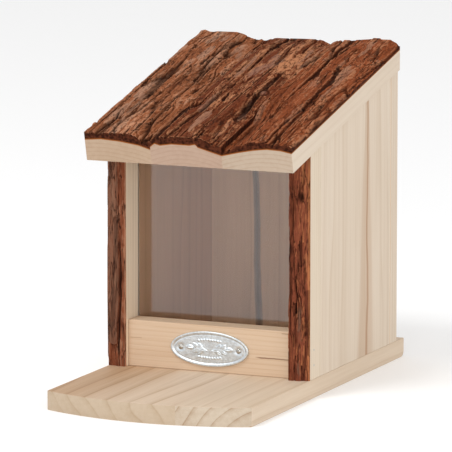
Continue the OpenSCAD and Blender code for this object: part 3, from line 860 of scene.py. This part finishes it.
# The warm, deep, tan and grey brown of each post's bark
POST_BARK_BROWNS = {
    "left": ((0.225, 0.068, 0.032), (0.085, 0.022, 0.011), (0.38, 0.175, 0.10), (0.185, 0.108, 0.072)),
    "right": ((0.215, 0.058, 0.029), (0.085, 0.020, 0.010), (0.42, 0.15, 0.06), (0.115, 0.088, 0.066)),
}
sawn_post_finish = sawn_bark("sawn_post_bark", (0.17, 0.05, 0.018), (0.34, 0.11, 0.026))
for which, seed, shape, low, high in (("left", 401, left_bark, post_low, post_high),
                                      ("right", 503, right_bark, right_low, right_high)):

    def bark_front(across, along):
        u, v = across / MM, along * POST_STRIP
        down, tone, depth, aged = bark_relief(u, v, seed, 0.7)
        height, plate, crack = shape(u, v, down)
        edge = np.minimum(across - low.x, high.x - across) / MM
        height = height - 1.1 * (1 - step(0, 1.6, edge))
        smooth = 0.55 - 0.3 * plate
        tone = 0.5 + (tone - 0.5) * (0.7 + 0.2 * plate) - 0.1 * plate
        tone = tone + 0.9 * step(1.3, 0.4, (high.x - across) / MM)
        # The posts' cracks, grooves and knot hollows are painted dark as shade as well.
        depth = np.clip(depth * 0.5 + 0.95 * crack, 0, 1)
        aged = np.clip(aged * smooth + 0.9 * plate, 0, 1)
        return np.clip(height * MM, 0.6 * MM, POST_BARK), (tone, depth, aged)

    piece, across, along, is_top = slab(
        f"post_bark_plates_{which}", *POST_MESH, flat, lambda a, b: bark_front(a, b)[0], on_post,
        low.x, high.x)
    height, tones = bark_front(across, along)
    paint_relief(piece, is_top, tones, height, POST_MESH[0])
    outer_finish = bark_finish(f"post_bark_{which}_finish", *POST_BARK_BROWNS[which], long=2)
    for finish in (outer_finish, sawn_post_finish, sawn_post_finish):
        piece.data.materials.append(finish)
    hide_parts(f"post_bark_{which}")
    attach(piece, "house")

# Oval plate
# A small plate pressed from zinc-plated sheet, with a rolled rim and a plain leaf pattern. Two
# round-headed nails hold it to the rail, each in a dimple.

plate_low, plate_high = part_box("oval_plate")
plate_centre = (plate_low + plate_high) / 2
plate_half_width = (plate_high.x - plate_low.x) / 2
plate_half_height = (plate_high.z - plate_low.z) / 2
nail_low, nail_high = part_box("plate_nails")
NAIL_HEAD = 2 * MM
nail_x = (nail_high.x - nail_low.x) / 2 - NAIL_HEAD
RIM = 3 * MM
FIELD = 0.95 * MM
FIELD_SHARE = 0.86
FIELD_RINGS = 40
PLATE_TURNS = 360
# The rolled rim's section in mm: how far in from the plate's edge, and how high
RIM_SHAPE = [(0.0, 0.0), (0.0, 1.0), (0.25, 1.5), (0.7, 1.7), (1.5, 1.62), (2.1, 1.35), (2.5, 0.95),
             (2.8, 0.78), (3.0, 0.85)]
# The sprig's leaves in mm: where each grows from its stem, its turn in radians and its length
LEAVES = [((2.5, -1.5), 0.15, 7), ((6, -0.8), 0.95, 5.5), ((6, -0.8), -0.75, 5),
          ((9.5, -0.2), 0.8, 5.5), ((9.5, -0.2), -0.65, 5), ((12.5, 0.2), 0.08, 6.5)]


def leaf(x, z, root, turn, length, width):
    """A pressed leaf: 1 along its middle, 0 outside, with a vein down it. Sizes in mm."""
    across, up = x - root[0], z - root[1]
    run = (across * math.cos(turn) + up * math.sin(turn)) / length
    off = (up * math.cos(turn) - across * math.sin(turn)) / width
    body = np.clip(1 - (off / np.maximum(4 * run * (1 - run), 1e-3)) ** 2, 0, 1) * (run > 0) * (run < 1)
    vein = np.exp(-(off / 0.12) ** 2) * (run > 0.1) * (run < 0.85)
    return np.sqrt(body) * (1 - 0.45 * vein)


def plate_pattern(x, z):
    """The height of the pressed pattern, in shares, at x and z mm from the plate's middle."""
    side = np.abs(x)
    high = np.zeros_like(x)
    for root, turn, length in LEAVES:
        high = np.maximum(high, leaf(side, z, root, turn, length * 1.1, 2.0))
    stem = np.exp(-((z + 1.6 - 0.14 * side) / 0.35) ** 2) * step(1.5, 2.2, side) * (1 - step(13, 14, side))
    high = np.maximum(high, 0.7 * stem)
    for row in (-1, 1):
        for k in range(-4, 5):
            bead = ((x - 2.3 * k) / 0.85) ** 2 + ((z - row * (7.2 - 0.05 * k * k)) / 0.95) ** 2
            high = np.maximum(high, 0.8 * np.sqrt(np.clip(1 - bead, 0, 1)))
    return high


def plate_height(x, z):
    """The height of the plate inside its rim, at x and z mm from its middle."""
    grain = 0.09 * layered(x / 1.1, z / 1.1, 77, 2)
    dimple = np.exp(-(((np.abs(x) - nail_x / MM) / 2.9) ** 2 + (z / 2.9) ** 2) ** 2)
    return FIELD + (0.8 * plate_pattern(x, z) + grain - 0.5 * dimple) * MM


# The plate's section is spun as a round disc first, with each point's kind as its height: its back,
# its number in the rim's section, or the field. Each point then goes to its place on the oval.
BACK_KIND, FIELD_KIND = -1, 100
bm = bmesh.new()
line = [bm.verts.new((0, 0, BACK_KIND))]
for kind, (inward, _) in enumerate(RIM_SHAPE):
    line.append(bm.verts.new((1 - (1 - FIELD_SHARE) * inward * MM / RIM, 0, kind)))
for k in range(1, FIELD_RINGS + 1):
    line.append(bm.verts.new((FIELD_SHARE * (1 - k / FIELD_RINGS), 0, FIELD_KIND)))
edges = [bm.edges.new(pair) for pair in zip(line, line[1:])]
bmesh.ops.spin(bm, geom=line + edges, axis=(0, 0, 1), cent=(0, 0, 0), angle=math.tau,
               steps=PLATE_TURNS, use_merge=True)
for vert in bm.verts:
    share, turn = math.hypot(vert.co.x, vert.co.y), math.atan2(vert.co.y, vert.co.x)
    kind = round(vert.co.z)
    if kind == BACK_KIND:
        vert.co = (0, 0, 0)
        continue
    inward = RIM * min(1, (1 - share) / (1 - FIELD_SHARE))
    within = min(1, share / FIELD_SHARE)
    x = (plate_half_width - inward) * within * math.cos(turn)
    z = (plate_half_height - inward) * within * math.sin(turn)
    if kind == FIELD_KIND:
        high = float(plate_height(np.array([x / MM]), np.array([z / MM]))[0])
    else:
        high = RIM_SHAPE[kind][1] * MM
    vert.co = (x, -high, z)
bmesh.ops.remove_doubles(bm, verts=bm.verts, dist=SAME_PLACE)
bmesh.ops.translate(bm, verts=bm.verts, vec=(plate_centre.x, plate_high.y, plate_centre.z))
bmesh.ops.recalc_face_normals(bm, faces=bm.faces)
for face in bm.faces:
    face.smooth = True
plate_mesh = bpy.data.meshes.new("pressed_plate")
bm.to_mesh(plate_mesh)
bm.free()
pressed_plate = bpy.data.objects.new("pressed_plate", plate_mesh)
bpy.context.scene.collection.objects.link(pressed_plate)


def zinc(name, colour, roughness, spangle=0.12):
    """Zinc plating: a soft metal shine, with a fine uneven spangle and dull specks."""
    made, tree, shader = material(name, roughness=roughness)
    shader.inputs["Metallic"].default_value = 1
    coords = tree.nodes.new("ShaderNodeTexCoord").outputs["Object"]
    cloud = stretched_noise(tree, coords, (450, 450, 450), 3.0)
    speck = stretched_noise(tree, coords, (2600, 2600, 2600), 2.0, 3)
    share = calc(tree, "MULTIPLY_ADD", calc(tree, "SUBTRACT", speck, 0.5), 0.8, cloud)
    dull = tuple(part * 0.72 for part in colour)
    bright = ramp(tree, share, [(0.3, 0.0), (0.75, 1.0)])
    rough = calc(tree, "MULTIPLY_ADD", speck, spangle * 2, roughness - spangle)
    feed(tree, shader.inputs["Base Color"], blend(tree, bright, dull, colour))
    feed(tree, shader.inputs["Roughness"], rough)
    relief(tree, shader, share, 0.05 * MM, 0.6)
    return made


pressed_plate.data.materials.append(zinc("plate_zinc", (0.86, 0.93, 0.98), 0.4))
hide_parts("oval_plate")
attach(pressed_plate, "house")

# Plate nails
# Two short nails of zinc-plated steel wire, with domed heads. They are driven through the plate
# into the rail, each in the middle of its dimple.

HEAD_DOME = 1.0 * MM
NAIL_WIRE = 0.9 * MM
NAIL_LENGTH = 6 * MM
NAIL_POINT = 1 * MM
nail_section = [(0.0, HEAD_DOME)]
for degrees in range(15, 91, 15):
    turn = math.radians(degrees)
    nail_section.append((NAIL_HEAD * math.sin(turn), HEAD_DOME * math.cos(turn)))
nail_section += [(NAIL_WIRE, 0.0), (NAIL_WIRE, -NAIL_LENGTH), (0.0, -NAIL_LENGTH - NAIL_POINT)]
bm = bmesh.new()
for side in (-1, 1):
    line = [bm.verts.new((radius, -high, 0)) for radius, high in nail_section]
    edges = [bm.edges.new(pair) for pair in zip(line, line[1:])]
    bmesh.ops.spin(bm, geom=line + edges, axis=(0, 1, 0), cent=(0, 0, 0), angle=math.tau,
                   steps=32, use_merge=True)
    new = [vert for vert in bm.verts if not vert.tag]
    nail_place = (plate_centre.x + side * nail_x, plate_high.y - 0.6 * FIELD, plate_centre.z)
    bmesh.ops.translate(bm, verts=new, vec=nail_place)
    for vert in new:
        vert.tag = True
bmesh.ops.remove_doubles(bm, verts=bm.verts, dist=SAME_PLACE)
bmesh.ops.recalc_face_normals(bm, faces=bm.faces)
for face in bm.faces:
    face.smooth = True
nail_mesh = bpy.data.meshes.new("domed_plate_nails")
bm.to_mesh(nail_mesh)
bm.free()
domed_nails = bpy.data.objects.new("domed_plate_nails", nail_mesh)
bpy.context.scene.collection.objects.link(domed_nails)
nail_zinc = zinc("nail_zinc", (0.56, 0.54, 0.50), 0.3)
domed_nails.data.materials.append(nail_zinc)
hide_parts("plate_nails")
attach(domed_nails, "house")

# Brads, screws and hinges
# Plain zinc brads in the posts and the back, countersunk screws under the base, and two small
# plated butt hinges across the joint between the back boards and the roof.

for node in ("rail_nails", "back_nails", "base_screws", "hinge_pin_left", "hinge_pin_right"):
    give(node, nail_zinc)
hinge_plating = zinc("hinge_brass_plating", (0.62, 0.47, 0.22), 0.32)
for node in ("hinge_body_leaf_left", "hinge_body_leaf_right", "hinge_roof_leaf_left",
             "hinge_roof_leaf_right", "hinge_body_screws", "hinge_roof_screws"):
    give(node, hinge_plating)
